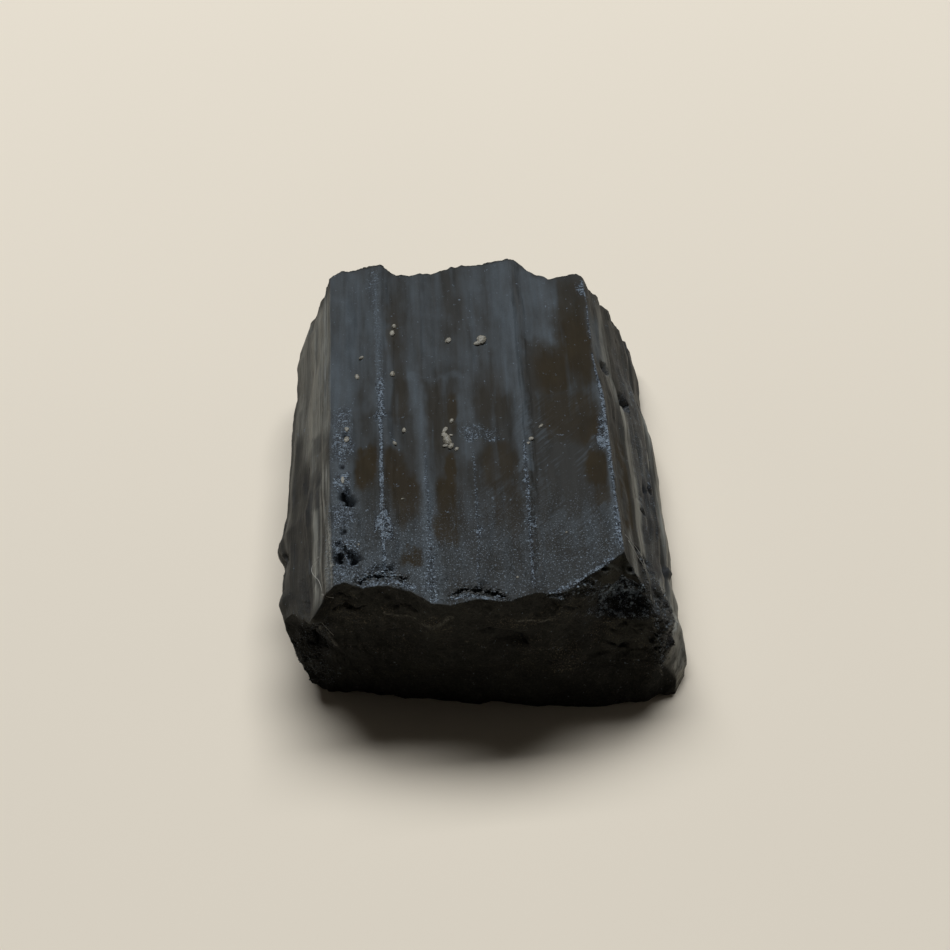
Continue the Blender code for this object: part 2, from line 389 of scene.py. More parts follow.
# Beige strips along the left and the right side, partly worn dust and partly a painted reflection of the pale
# floor, as (z, half height, from y, to y, strength)
LEFT_STRIPS = (
    (11.10, 0.13, -18.0, -5.0, 1.0),
    (10.75, 0.15, -18.0, -4.0, 1.1),
    (10.15, 0.14, -18.0, -5.0, 1.1),
    (9.65, 0.20, -18.0, -6.0, 0.9),
    (9.70, 1.70, -1.0, 17.0, 0.75),
    (9.90, 1.10, -5.0, 1.0, 0.4),
    (7.30, 0.60, 3.0, 18.0, 0.5),
    (6.60, 0.18, -12.0, 14.0, 0.5),
    (4.40, 0.20, -10.0, 16.0, 0.3),
)
RIGHT_STRIPS = (
    (8.80, 0.24, -17.0, 5.0, 1.1),
    (8.20, 0.26, -17.0, 6.0, 1.1),
    (7.70, 0.16, -13.0, 4.0, 0.9),
    (9.60, 0.50, 4.0, 16.0, 0.5),
    (5.60, 0.14, -10.0, 12.0, 0.4),
    (4.00, 0.45, -18.0, 16.0, 0.8),
    (10.20, 0.30, -17.5, -12.5, 0.8),
    (6.60, 0.40, -19.0, -13.5, 0.7),
    (3.40, 2.30, -19.5, -12.0, 1.3),
)

# Dark stains of the left and the right side, as (y, z, half length, half height, strength)
LEFT_STAINS = (
    (-0.5, 9.9, 0.9, 0.5, 0.5),
    (-4.6, 9.5, 0.7, 0.4, 0.4),
    (-6.2, 9.8, 1.3, 0.6, 0.7),
    (-8.6, 9.0, 1.3, 0.5, 0.7),
    (-11.5, 8.6, 1.6, 0.4, 0.5),
    (-10.0, 7.6, 2.2, 0.5, 0.4),
    (-14.5, 8.2, 2.4, 0.5, 0.45),
    (-16.8, 9.0, 1.0, 0.4, 0.5),
    (6.5, 7.8, 2.0, 0.4, 0.3),
)
RIGHT_STAINS = (
    (-2.5, 5.8, 1.3, 0.5, 0.8),
    (-5.0, 6.6, 1.0, 0.5, 0.7),
    (-7.3, 5.6, 0.9, 0.6, 0.7),
    (-9.6, 6.6, 0.9, 0.5, 0.8),
    (-11.2, 5.8, 1.0, 0.4, 0.9),
    (-13.2, 6.6, 0.8, 0.6, 0.8),
    (-13.4, 10.0, 0.7, 0.3, 0.9),
    (-14.6, 9.1, 0.7, 0.35, 0.9),
    (-15.6, 8.2, 0.7, 0.4, 0.9),
    (-15.9, 4.8, 0.8, 0.6, 0.7),
    (2.5, 6.8, 2.0, 0.4, 0.3),
    (12.0, 7.0, 2.0, 0.5, 0.3),
)

# Where fine scratches run slantwise over the top, as (x, y, half width, half length, strength)
STREAKED_SPOTS = (
    (7.0, -2.2, 3.4, 4.6, 1.0),
    (2.6, -9.5, 3.0, 5.0, 0.6),
    (5.5, -12.0, 4.4, 4.0, 0.5),
)

# Pale mineral grains stuck on the top, as (x, y, half length, half width, turn from the x axis)
GRAINS = (
    (0.9, 10.2, 0.62, 0.42, 1.2),
    (0.5, 9.6, 0.34, 0.26, 0.4),
    (-1.9, 10.0, 0.34, 0.24, 1.2),
    (-6.3, 12.2, 0.34, 0.2, 1.5),
    (-6.5, 11.2, 0.42, 0.22, 1.4),
    (-1.95, -0.15, 0.34, 0.16, 1.3),
    (-2.45, -1.15, 0.36, 0.17, 1.0),
    (-2.30, -2.45, 0.62, 0.36, 1.5),
    (-2.55, -1.75, 0.40, 0.22, 1.9),
    (-2.05, -3.20, 0.36, 0.22, 1.1),
    (-2.45, -3.05, 0.26, 0.18, 0.3),
    (-1.65, -3.6, 0.22, 0.15, 0.9),
    (-2.0, -1.9, 0.18, 0.12, 0.0),
    (-6.45, -2.5, 0.40, 0.19, 1.9),
    (-5.65, -1.15, 0.30, 0.19, 1.6),
    (-10.15, -1.0, 0.30, 0.17, 1.4),
    (-10.15, -2.3, 0.34, 0.18, 1.5),
    (-10.4, -6.9, 0.50, 0.10, 1.6),
    (-6.5, 5.9, 0.34, 0.19, 1.4),
    (-9.35, 5.7, 0.32, 0.20, 1.5),
    (-9.0, 8.1, 0.28, 0.20, 1.3),
    (4.2, -2.55, 0.30, 0.16, 1.0),
    (3.95, -3.2, 0.20, 0.11, 0.6),
    (5.05, -0.95, 0.26, 0.12, 0.9),
    (-5.9, -9.0, 0.14, 0.11, 0.2),
    (6.2, -13.0, 0.11, 0.08, 0.5),
    (2.3, -17.8, 0.13, 0.09, 1.1),
    (-9.2, -13.9, 0.13, 0.09, 0.8),
)

# Lint fibres on the near left corner, as points (x, y, z) that each lies along
LINT = (
    ((-12.2, -13.9, 10.2), (-12.75, -14.3, 9.65), (-12.7, -15.2, 9.7), (-12.0, -16.6, 10.3), (-11.9, -17.5, 10.1)),
    ((-11.9, -17.9, 10.3), (-11.5, -18.4, 10.5), (-11.0, -18.6, 10.6)),
    ((-12.4, -17.9, 8.0), (-11.9, -18.2, 7.4), (-11.2, -18.6, 6.7)),
    ((10.7, -14.2, 11.3), (11.3, -15.2, 10.5), (12.1, -15.8, 9.6), (12.2, -16.6, 8.6), (12.4, -17.2, 7.6)),
    ((10.5, -13.6, 11.3), (11.2, -14.0, 10.6), (11.9, -14.8, 9.8), (12.0, -15.8, 9.2)),
    ((12.2, -16.9, 8.3), (12.6, -18.0, 7.0), (12.7, -18.5, 5.6), (13.0, -18.7, 4.4), (13.2, -18.8, 3.2)),
    ((12.5, -17.0, 7.8), (12.5, -17.9, 6.6), (13.0, -18.2, 5.4)),
)

# Camera: place, tilt from straight down, turn, and lens on a 36 mm sensor
CAMERA_PLACE = (-5.08, -122.92, 116.0)
CAMERA_TILT = 48.0
CAMERA_TURN = -2.3
LENS = 77.64


class TourmalineSizes(bpy.types.PropertyGroup):
    striation_depth: FloatProperty(
        name="Striation depth", description="Depth of the lengthwise grooves",
        default=0.055 * MM, unit="LENGTH")
    grit_depth: FloatProperty(
        name="Grit depth", description="Height of the worn, grainy surface",
        default=0.04 * MM, unit="LENGTH")
    chip_depth: FloatProperty(
        name="Chip depth", description="Height of the chips on the broken ends",
        default=0.26 * MM, unit="LENGTH")
    crumb_size: FloatProperty(
        name="Crumb size", description="Radius of the crumbs in the hollows and cracks",
        default=0.11 * MM, unit="LENGTH")
    crumbs: IntProperty(
        name="Crumbs", description="How many crumbs lie in the hollows and cracks",
        default=4500, min=0)
    lint_thickness: FloatProperty(
        name="Lint thickness", description="Diameter of the fibres",
        default=0.045 * MM, unit="LENGTH")


def colour_property(name, description, default):
    return FloatVectorProperty(
        name=name, description=description, default=default,
        size=3, min=0.0, max=1.0, subtype="COLOR")


class TourmalineColours(bpy.types.PropertyGroup):
    navy: colour_property("Navy", "Blue-black ground between the crumbs", (0.009, 0.012, 0.017))
    stone: colour_property("Stone", "Bare black stone", (0.0155, 0.0148, 0.0122))
    dust: colour_property("Dust", "Blue-grey film on the faces", (0.052, 0.062, 0.070))
    powder: colour_property("Powder", "Crushed stone along ridges and cracks", (0.12, 0.145, 0.175))
    # Painted glint: specks of fresh grit painted as bright as glints; the crumbs take it as their brightest tone.
    painted_glint: colour_property("Sparkle", "Fresh specks in the worn grit", (0.275, 0.335, 0.395))
    rust: colour_property("Rust specks", "Yellow-brown specks on the broken face", (0.085, 0.073, 0.050))
    brown: colour_property("Brown glaze", "Smooth brown patches", (0.0150, 0.0100, 0.0034))
    # Worn strip: partly worn dust, partly a painted reflection of the pale floor on the side faces; the pale
    # scratches of the near face use it too.
    worn: colour_property("Worn strip", "Beige lines on the side faces", (0.198, 0.193, 0.166))
    broken: colour_property("Broken face", "Grainy olive-black fracture", (0.0085, 0.0083, 0.0066))
    grain: colour_property("Grain", "Pale mineral grains", (0.21, 0.19, 0.145))
    lint: colour_property("Lint", "Stray fibres", (0.30, 0.29, 0.26))
    floor: colour_property("Floor", "Pale matt surface", (0.75, 0.665, 0.545))


def along(track, at):
    """Values of a track of (position, value) pairs at many positions, held past its ends."""
    places, values = zip(*track)
    return np.interp(at, places, values)


def spread(corners, share):
    """Points a share of the way along lines of corners, each corner keeping its own share."""
    place = np.minimum(share, 1.0) * (corners.shape[1] - 1)
    index = np.minimum(place.astype(int), corners.shape[1] - 2)
    row = np.arange(len(share))
    part = (place - index)[:, None]
    return corners[row, index] * (1 - part) + corners[row, index + 1] * part


def beside(x, z):
    """Points (x, z) from two values, either of which may be one number."""
    return np.stack(np.broadcast_arrays(np.asarray(x, float), np.asarray(z, float)), axis=-1)


def stepped(start, end, steps):
    """Corners from start to end, with steps standing out across the line."""
    line = end - start
    outward = np.stack((line[:, 1], -line[:, 0]), axis=-1)
    outward /= np.linalg.norm(outward, axis=1, keepdims=True)
    outward[(outward[:, 0] > 0) != (line[:, 0] > 0)] *= -1
    return [start + line * share + outward * height for share, height in steps]


def top_corners(y):
    left, right = along(LEFT_RIDGE, y), along(RIGHT_RIDGE, y)
    back = np.clip(y / (2 * HALF_LENGTH) + 0.5, 0, 1)
    corners = []
    for near, far, drop in FLUTES:
        corners.append(beside(left + (right - left) * (near + (far - near) * back), HEIGHT - drop))
    return corners


def foot_corners(left, right):
    near = [left + (inset, depth) for inset, depth in GROOVES]
    far = [right + (-inset, depth) for inset, depth in GROOVES]
    middle = [near[-1] + (far[-1] - near[-1]) * share for share in (1 / 3, 2 / 3)]
    return near + middle + far[::-1]


def left_corners(y, top):
    flank = along(LEFT_FLANK, y)
    above = stepped(top[0], beside(flank, LEFT_FLANK_Z), LEFT_STEPS)
    below = [beside(flank - out, z) for out, z in UNDERCUT]
    return (above + below)[::-1]


def right_corners(y, top):
    flank = along(RIGHT_FLANK, y)
    second = beside(top[-1][:, 0] + SECOND_RIDGE[0], SECOND_RIDGE[1])
    below = [beside(flank + out, z) for out, z in LEDGE]
    return ([top[-1]] + stepped(second, beside(flank, RIGHT_FLANK_Z), RIGHT_STEPS) + below)[::-1]


def section(across, up, y):
    """Places (x, z) in the cross-sections at y, for shares across and up the starting box."""
    top = top_corners(y)
    left, right = left_corners(y, top), right_corners(y, top)
    foot = foot_corners(left[0], right[0])
    low, high, near, far = (
        spread(np.stack(line, axis=1), share)
        for line, share in ((foot, across), (top, across), (left, up), (right, up))
    )
    across, up = across[:, None], up[:, None]
    corners = (
        left[0] * (1 - across) * (1 - up)
        + right[0] * across * (1 - up)
        + left[-1] * (1 - across) * up
        + right[-1] * across * up
    )
    return low * (1 - up) + high * up + near * (1 - across) + far * across - corners


def dome(distance):
    """A smooth bump, 1 at no distance and 0 from a distance of 1."""
    return (1 - np.minimum(distance, 1.0) ** 2) ** 2


def rise(value, low, high):
    """A smooth step from 0 at low to 1 at high."""
    share = np.clip((value - low) / (high - low), 0, 1)
    return share * share * (3 - 2 * share)


def grain(places, scale, octaves=3):
    """Uneven values from -1 to 1 with lumps about as wide as the scale."""
    scaled = (places / scale).tolist()
    return np.array([noise.fractal(place, 0.8, 2.0, octaves) for place in scaled])


def chips(places, size):
    """Heights of flat chips about as wide as the size, each tilted its own way."""
    heights = []
    for place in (places / size).tolist():
        distances, centres = noise.voronoi(place)
        tilt = noise.noise_vector(centres[0] * 7.3)
        heights.append(tilt.dot(Vector(place) - centres[0]) * 2 + noise.noise(centres[0] * 3.1) * 0.6)
    return np.array(heights)


def flat_place(x, y, z):
    return np.stack(np.broadcast_arrays(x, np.asarray(y, float), z), axis=-1)


def near_end(x, z):
    level = np.clip(z / HEIGHT, 0, 1)
    y = along(NEAR_FOOT_EDGE, x) * (1 - level) + along(NEAR_TOP_EDGE, x) * level
    for at_x, at_z, wide, high, depth in NEAR_HOLLOWS:
        y = y + depth * dome(np.hypot((x - at_x) / wide, (z - at_z) / high))
    return y + 0.30 * grain(flat_place(x, 0.0, z), 2.6)


def far_end(x, z):
    level = np.clip(z / HEIGHT, 0, 1)
    y = along(FAR_FOOT_EDGE, x) * (1 - level) + along(FAR_TOP_EDGE, x) * level
    return y - 0.30 * grain(flat_place(x, 40.0, z), 2.2)


def placed(shares):
    """Places of the starting box's points, given as shares of its three sides."""
    across, share, up = shares.T
    share = share * (1 - CROWDING) + share ** 2 * CROWDING
    y = (2 * share - 1) * HALF_LENGTH
    for _ in range(3):
        x, z = section(across, up, y).T
        y = near_end(x, z) * (1 - share) + far_end(x, z) * share
    return np.stack((x, y, z), axis=-1)


def line_distance(x, y, line):
    """Distance from each (x, y) to a line of points."""
    nearest = np.full(len(x), 1e9)
    for (ax, ay), (bx, by) in zip(line, line[1:]):
        wide, long = bx - ax, by - ay
        share = np.clip(((x - ax) * wide + (y - ay) * long) / (wide ** 2 + long ** 2), 0, 1)
        nearest = np.minimum(nearest, np.hypot(x - ax - wide * share, y - ay - long * share))
    return nearest


def spotted(x, y, spots, soft=0.4):
    """The strongest of several soft spots, between oval and square, at each (x, y)."""
    value = np.zeros(len(x))
    for at_x, at_y, wide, long, strength in spots:
        distance = (np.abs((x - at_x) / wide) ** 3 + np.abs((y - at_y) / long) ** 3) ** (1 / 3)
        value = np.maximum(value, strength * (1 - rise(distance, 1 - soft, 1 + soft)))
    return value


def lined(x, y, lines, core=0.4, reach=1.8):
    """The strongest of several soft lines, each as (half width, strength, points), at each (x, y)."""
    value = np.zeros(len(x))
    for half, strength, line in lines:
        away = line_distance(x, y, line)
        value = np.maximum(value, strength * (1 - rise(away, half * core, half * reach)))
    return value


class Surface:
    """The crystal's points with the fields that shape and colour them."""

    def __init__(self, places, normals, sizes):
        self.place = places
        self.normal = normals
        x, y, z = places.T
        self.top = rise(normals[:, 2], 0.45, 0.75) * rise(z, 9.6, 10.4)
        self.near = rise(-normals[:, 1], 0.45, 0.75) * rise(-y, 12.0, 15.0)
        self.far = rise(normals[:, 1], 0.45, 0.75) * rise(y, 13.0, 15.0)
        self.ends = np.maximum(self.near, self.far)
        self.left = rise(-normals[:, 0], 0.25, 0.55) * (1 - self.ends)
        self.right = rise(normals[:, 0], 0.25, 0.55) * (1 - self.ends)
        self.striation = grain(places * (1, 0.06, 1), 0.55, 2)
        self.fine = grain(places * (1, 0.05, 1), 0.24, 2)
        self.grit = grain(places, 0.32, 2)
        self.sizes = sizes
        self.rubble = self.rubbly()
        self.block = 1 - rise(np.hypot((x - 9.7) / 1.7, (z - 10.5) / 1.1), 0.6, 1.1)
        self.front = rise(-y, 5.5, 15.0)
        self.waver = grain(places * (1, 0.5, 1), 0.9, 3)
        self.drift = grain(places * (1, 0.5, 1) + 30, 0.9, 3)
        sway = 0.22 + 0.25 * rise(y, 4.0, 10.0)
        uneven = (x + sway * self.waver, y + 0.9 * self.drift)
        self.glassy = spotted(*uneven, GLASSY_SPOTS, 0.30 + 0.45 * rise(y, 0.0, 10.0)) * self.top

    def rubbly(self):
        """Where the stone is broken into chips: the near corners, the hollows and the cracks."""
        x, y, z = self.place.T
        corner = (1 - rise(line_distance(x, z, CORNER_BREAK), 0.7, 1.6)) * (1 - 0.6 * self.left)
        hollow = 1 - rise(np.hypot((x - 10.2) / 2.7, (z - 8.4) / 1.5), 0.6, 1.1)
        edge = 1 - rise(np.hypot((x - 13.2) / 1.2, (z - 5.6) / 3.2), 0.6, 1.1)
        rim = 1 - rise(line_distance(x, z, CRUMBLED_EDGE), 0.35, 0.8)
        near = np.maximum.reduce((corner, hollow, edge, rim * (1 - self.top)))
        near = near * rise(-y, 12.5, 15.0)
        crack = np.zeros(len(x))
        for half, _, line in CRACKS:
            crack = np.maximum(crack, 1 - rise(line_distance(x, y, line), half, half + 0.55))
        return np.maximum(near, crack * self.top)

    def side_strips(self):
        """Beige strips that run along both side faces, broken up lengthwise: partly worn dust, partly a painted
        reflection of the pale floor.
        """
        y, z = self.place[:, 1], self.place[:, 2]
        fine = grain(self.place * (0.1, 0.05, 1), 0.32, 2)
        broad = grain(self.place * (0.1, 0.08, 1) + 9, 0.9, 2)
        strip = np.zeros(len(z))
        for mask, bands in ((self.left, LEFT_STRIPS), (self.right, RIGHT_STRIPS)):
            for at, half, start, end, strength in bands:
                level = 1 - rise(np.abs(z - at + 0.12 * broad), half * 0.6, half * 1.3)
                level = level * rise(y, start - 1.5, start + 1.5) * (1 - rise(y, end - 1.5, end + 1.5))
                strip = np.maximum(strip, level * strength * mask)
        # The low ledge at the near right is a light strip too: partly worn dust, partly painted light.
        x = self.place[:, 0]
        out = 14.3 - 1.0 * rise(-y, 11.0, 15.0)
        ledge = rise(x, out, out + 0.5) * (1 - rise(z, 3.4, 4.2)) * (1 - rise(-y, 18.6, 19.4))
        strip = np.maximum(strip, 1.1 * ledge * (1 - rise(y, 8.0, 16.0)))
        contrast = 0.35 + 0.75 * np.maximum(rise(-y, 2.0, 8.0), self.right)
        return strip * np.clip(0.85 + contrast * fine + 0.25 * broad, 0, 1.2)

    def push(self):
        """How far each point moves out along its normal."""
        x, y, z = self.place.T
        sides = np.maximum(self.left, self.right)
        push = 0.10 * grain(self.place * (1, 0.3, 1), 1.4)
        ragged = 0.35 * grain(self.place, 0.7, 3)
        for at_x, at_y, at_z, radius, depth in PITS:
            away = np.linalg.norm(self.place - (at_x, at_y, at_z), axis=1)
            push = push - depth * dome(np.maximum(away / radius + ragged, 0))
        for at_x, at_y, at_z, radius, depth in HOLES:
            away = np.linalg.norm(self.place - (at_x, at_y, at_z), axis=1)
            push = push - depth * (1 - rise(away / radius + ragged + 0.3 * self.grit, 0.45, 1.05))
        for at_x, at_y, at_z, radius, height in KNOBS:
            away = np.linalg.norm(self.place - (at_x, at_y, at_z), axis=1)
            push = push + height * dome(away / radius)
        for half, depth, line in CRACKS:
            away = line_distance(x, y, line) + 0.12 * self.grit + 0.15 * ragged
            push = push - depth * (1 - rise(away, half * 0.4, half * 1.7)) * self.top
        striations = self.sizes.striation_depth / MM
        push = push + striations * self.striation * (self.top * 0.35 + sides * 2.0)
        push = push + striations * 0.5 * self.fine * (self.top * 0.4 + sides * 2.0)
        grit = self.sizes.grit_depth / MM
        rough = (0.12 + self.front * 1.2) * (1 - self.glassy * 0.8)
        push = push + grit * self.grit * (rough * self.top + 0.3 * sides + 1.3 * self.ends)
        chip = self.sizes.chip_depth / MM
        push = push + chip * 0.40 * chips(self.place, 2.4) * self.ends * (1 - self.rubble)
        push = push + chip * 0.24 * chips(self.place, 0.8) * self.ends * (1 - self.rubble)
        push = push + chip * 0.9 * chips(self.place, 1.2) * self.block * self.near
        crushed = self.rubble * (1 - 0.5 * self.top)
        push = push + chip * chips(self.place, 0.9) * crushed
        push = push + chip * 0.5 * chips(self.place, 0.45) * crushed
        for half, line in FACE_CRACKS:
            away = line_distance(x, z, line) + 0.10 * self.grit + 0.3 * ragged
            depth = 0.10 + 0.8 * half
            push = push - depth * (1 - rise(away, half * 0.5, half * 2.5)) * self.near
        for half, line in FACE_SCRATCHES:
            push = push + 0.05 * (1 - rise(line_distance(x, z, line), half, half * 3)) * self.near
        return push

    def values(self):
        """What the finish reads at each point."""
        x, y, z = self.place.T
        waver = self.waver
        uneven_x, uneven_y = x + 0.22 * waver, y + 0.7 * self.drift
        powder = spotted(uneven_x, uneven_y, WEAR_SPOTS)
        powder = np.maximum(powder, lined(x + 0.04 * waver, y, WEAR_LINES))
        film = lined(x + 0.15 * waver, uneven_y, FILM_LINES, 0.2, 2.0)
        # Painted shade in the holes and in the cracks of the top and the near face; dark spots on the first two
        # knobs, and real dark stains and blots on the sides.
        deep = np.zeros(len(x))
        for at_x, at_y, at_z, radius, _ in HOLES:
            away = np.linalg.norm(self.place - (at_x, at_y, at_z), axis=1)
            deep = np.maximum(deep, 0.85 * (1 - rise(away / radius + 0.5 * waver, 0.55, 0.95)))
        for at_x, at_y, at_z, radius, _ in KNOBS[:2]:
            away = np.linalg.norm(self.place - (at_x, at_y, at_z), axis=1)
            deep = np.maximum(deep, 0.8 * (1 - rise(away / radius + 0.35 * waver, 0.7, 1.1)))
        for half, _, line in CRACKS:
            away = line_distance(x, y, line) + 0.06 * waver
            deep = np.maximum(deep, (1 - rise(away, half * 0.4, half * 1.3)) * self.top)
        strip = self.side_strips()
        band = self.right * rise(z, 4.3, 5.0) * (1 - rise(z, 7.4, 8.0)) * (1 - rise(y, 10.0, 16.0))
        facet = self.right * rise(z, 9.3, 9.6) * (1 - rise(z, 10.6, 10.9))
        facet = facet * rise(y + 0.5 * waver, -12.8, -11.6) * (1 - rise(y + 0.8 * waver, -3.0, 0.5))
        bloom = self.right * rise(z, 9.4, 10.0) * rise(y, 6.0, 8.5) * (1 - rise(y, 12.0, 15.0))
        blots = grain(self.place * (1, 0.6, 1) + 70, 1.1, 3)
        deep = np.maximum(deep, band * rise(blots, 0.05, 0.35) * 0.85)
        facet = facet * rise(blots, -0.35, -0.05)
        at = (y + 0.7 * waver, z + 0.25 * self.drift)
        stains = spotted(*at, LEFT_STAINS, 0.5) * self.left + spotted(*at, RIGHT_STAINS, 0.5) * self.right
        deep = np.maximum(deep, stains * rise(blots, -0.65, -0.15))
        left_blots = self.left * rise(z, 5.5, 8.0) * (1 - rise(z, 10.3, 10.8)) * (1 - rise(y, 0.0, 4.0))
        deep = np.maximum(deep, left_blots * rise(blots, 0.3, 0.5) * 0.6)
        for half, line in FACE_CRACKS:
            away = line_distance(x, z, line) + 0.10 * self.grit + 0.12 * waver
            deep = np.maximum(deep, (1 - rise(away, half * 0.3, half * 1.6)) * self.near * 0.7)
        scratch = np.zeros(len(x))
        for half, line in FACE_SCRATCHES:
            away = line_distance(x, z, line) + 0.08 * waver
            scratch = np.maximum(scratch, (1 - rise(away, half * 0.3, half * 2.0)) * self.near)
        worn = lined(x + 0.15 * waver, z + 0.15 * self.drift, FACE_WEAR, 0.5, 1.6) * self.near
        hollow = 1 - rise(np.hypot((x - 10.0) / 3.0, (z - 8.4) / 1.5) + 0.45 * waver, 0.6, 1.1)
        upper = 0.35 * rise(z + 0.8 * waver, 5.5, 9.0)
        below = 1 - rise(np.hypot((x - 10.6) / 2.6, (z - 5.4) / 2.0) + 0.3 * waver, 0.4, 1.2)
        return {
            "scratch": scratch,
            "olive": np.maximum.reduce((1.7 * self.block, upper, 1.1 * below)) * self.near,
            "flecked": spotted(x + 0.3 * waver, z + 0.3 * self.drift, FLECKED_SPOTS, 0.6) * self.near,
            "streaked": spotted(x, y, STREAKED_SPOTS, 0.5) * self.top,
            "powder": np.maximum.reduce((
                powder * self.top, worn, 0.9 * hollow * self.near, 0.28 * band)),
            "film": np.maximum.reduce((film * self.top, 0.35 * band, 0.8 * bloom)),
            "glassy": np.maximum(self.glassy, 0.95 * facet),
            "strip": np.clip(strip, 0, 1.4),
            "side": np.clip(self.left + self.right, 0, 1),
            "broken": np.clip(np.maximum(self.ends, self.rubble), 0, 1),
            "rubble": self.rubble,
            "deep": deep,
            "front": self.front * self.top,
        }


def starting_box(shape):
    """A unit box with its edges divided into columns, stations and rows."""
    bmesh.ops.create_cube(shape, size=1.0)
    bmesh.ops.translate(shape, vec=(0.5, 0.5, 0.5), verts=shape.verts)
    for axis, count in enumerate(DIVISIONS):
        edges = [
            edge for edge in shape.edges
            if abs(edge.verts[0].co[axis] - edge.verts[1].co[axis]) > 0.5
        ]
        bmesh.ops.subdivide_edges(shape, edges=edges, cuts=count - 1, use_grid_fill=True)


def vectors(items, attribute):
    """Values of one vector attribute of a mesh's items, as rows."""
    values = np.empty(len(items) * 3, np.float32)
    items.foreach_get(attribute, values)
    return values.reshape(-1, 3).astype(float)


def keep_values(mesh, values):
    """Keeps named values on a mesh's points, where its material reads them."""
    for name, value in values.items():
        attribute = mesh.attributes.new(name, "FLOAT", "POINT")
        attribute.data.foreach_set("value", value.astype(np.float32))


def thin_underside(mesh):
    """Joins the flat faces of the underside, which nothing finer marks."""
    shape = bmesh.new()
    shape.from_mesh(mesh)
    under = [face for face in shape.faces if max(vert.co.z for vert in face.verts) < 0.5 * MM]
    under = [face for face in under if face.normal.z < -0.8]
    edges = {edge for face in under for edge in face.edges}
    verts = {vert for face in under for vert in face.verts}
    bmesh.ops.dissolve_limit(
        shape, angle_limit=math.radians(1.0), verts=list(verts), edges=list(edges))
    bmesh.ops.triangulate(shape, faces=[face for face in shape.faces if len(face.verts) > 4])
    shape.to_mesh(mesh)
    shape.free()


def crystal_mesh(sizes):
    shape = bmesh.new()
    starting_box(shape)
    mesh = bpy.data.meshes.new("crystal_surface")
    shape.to_mesh(mesh)
    shape.free()
    shares = vectors(mesh.vertices, "co")
    places = placed(shares)
    mesh.vertices.foreach_set("co", places.ravel())
    mesh.update()
    surface = Surface(places, vectors(mesh.vertex_normals, "vector"), sizes)
    outside = shares[:, 2] > 1e-6
    places = places + surface.normal * (surface.push() * outside)[:, None]
    keep_values(mesh, surface.values())
    mesh.vertices.foreach_set("co", ((places - MIDDLE) * MM).ravel())
    mesh.update()
    thin_underside(mesh)
    mesh.shade_smooth()
    mesh.set_sharp_from_angle(angle=math.radians(38))
    return mesh


class Wire:
    """One output in a shader tree. Arithmetic on it adds Math nodes."""

    def __init__(self, tree, socket=None):
        self.tree = tree
        self.socket = socket

    def node(self, kind, settings=None, inputs=None, output=0):
        """Adds a node of any kind: its settings first, then the values or links of its sockets."""
        made = self.tree.nodes.new(kind)
        for name, value in (settings or {}).items():
            if name == "stops":
                self.set_stops(made.color_ramp, value)
            else:
                setattr(made, name, value)
        for name, value in (inputs or {}).items():
            self.feed(made.inputs[name], value)
        return Wire(self.tree, made.outputs[output])

    def feed(self, socket, value):
        if isinstance(value, Wire):
            self.tree.links.new(value.socket, socket)
        else:
            socket.default_value = value

    def set_stops(self, ramp, stops):
        while len(ramp.elements) < len(stops):
            ramp.elements.new(1.0)
        for element, (position, level) in zip(ramp.elements, stops):
            element.position = position
            element.color = (level, level, level, 1.0)

    def math(self, operation, *values):
        return self.node("ShaderNodeMath", {"operation": operation}, dict(enumerate(values)))

    def __add__(self, other):
        return self.math("ADD", self, other)

    __radd__ = __add__

    def __sub__(self, other):
        return self.math("SUBTRACT", self, other)

    def __rsub__(self, other):
        return self.math("SUBTRACT", other, self)

    def __mul__(self, other):
        return self.math("MULTIPLY", self, other)

    __rmul__ = __mul__

    def clamped(self):
        return self.node("ShaderNodeClamp", {}, {"Value": self})

    def step(self, low, high):
        """A smooth step from 0 at low to 1 at high."""
        settings = {"interpolation_type": "SMOOTHSTEP"}
        return self.node("ShaderNodeMapRange", settings, {"Value": self, 1: low, 2: high})

    def mixed(self, first, second):
        """The first colour where this is 0 and the second where it is 1."""
        settings = {"data_type": "RGBA"}
        return self.node("ShaderNodeMix", settings, {0: self, 6: first, 7: second}, 2)

    def attribute(self, name):
        return self.node("ShaderNodeAttribute", {"attribute_name": name}, output=2)

    def stretched(self, scale, turn=0.0):
        """Object coordinates turned about Z and in units of the given sizes, in mm."""
        place = self.node("ShaderNodeTexCoord", output=3)
        if turn:
            settings = {"rotation_type": "Z_AXIS"}
            place = self.node("ShaderNodeVectorRotate", settings, {"Vector": place, "Angle": turn})
        factors = tuple(1 / (size * MM) for size in scale)
        settings = {"operation": "MULTIPLY"}
        return place.node("ShaderNodeVectorMath", settings, {0: place, 1: factors})

    def noise(self, scale, detail=2.0, roughness=0.55, turn=0.0):
        place = self.stretched(scale, turn)
        inputs = {"Vector": place, "Scale": 1.0, "Detail": detail, "Roughness": roughness}
        return self.node("ShaderNodeTexNoise", {}, inputs)


def opaque(colour):
    return (*colour, 1.0)


def new_material(name):
    material = bpy.data.materials.new(name)
    material.use_nodes = True
    tree = material.node_tree
    return material, Wire(tree), tree.nodes["Principled BSDF"]


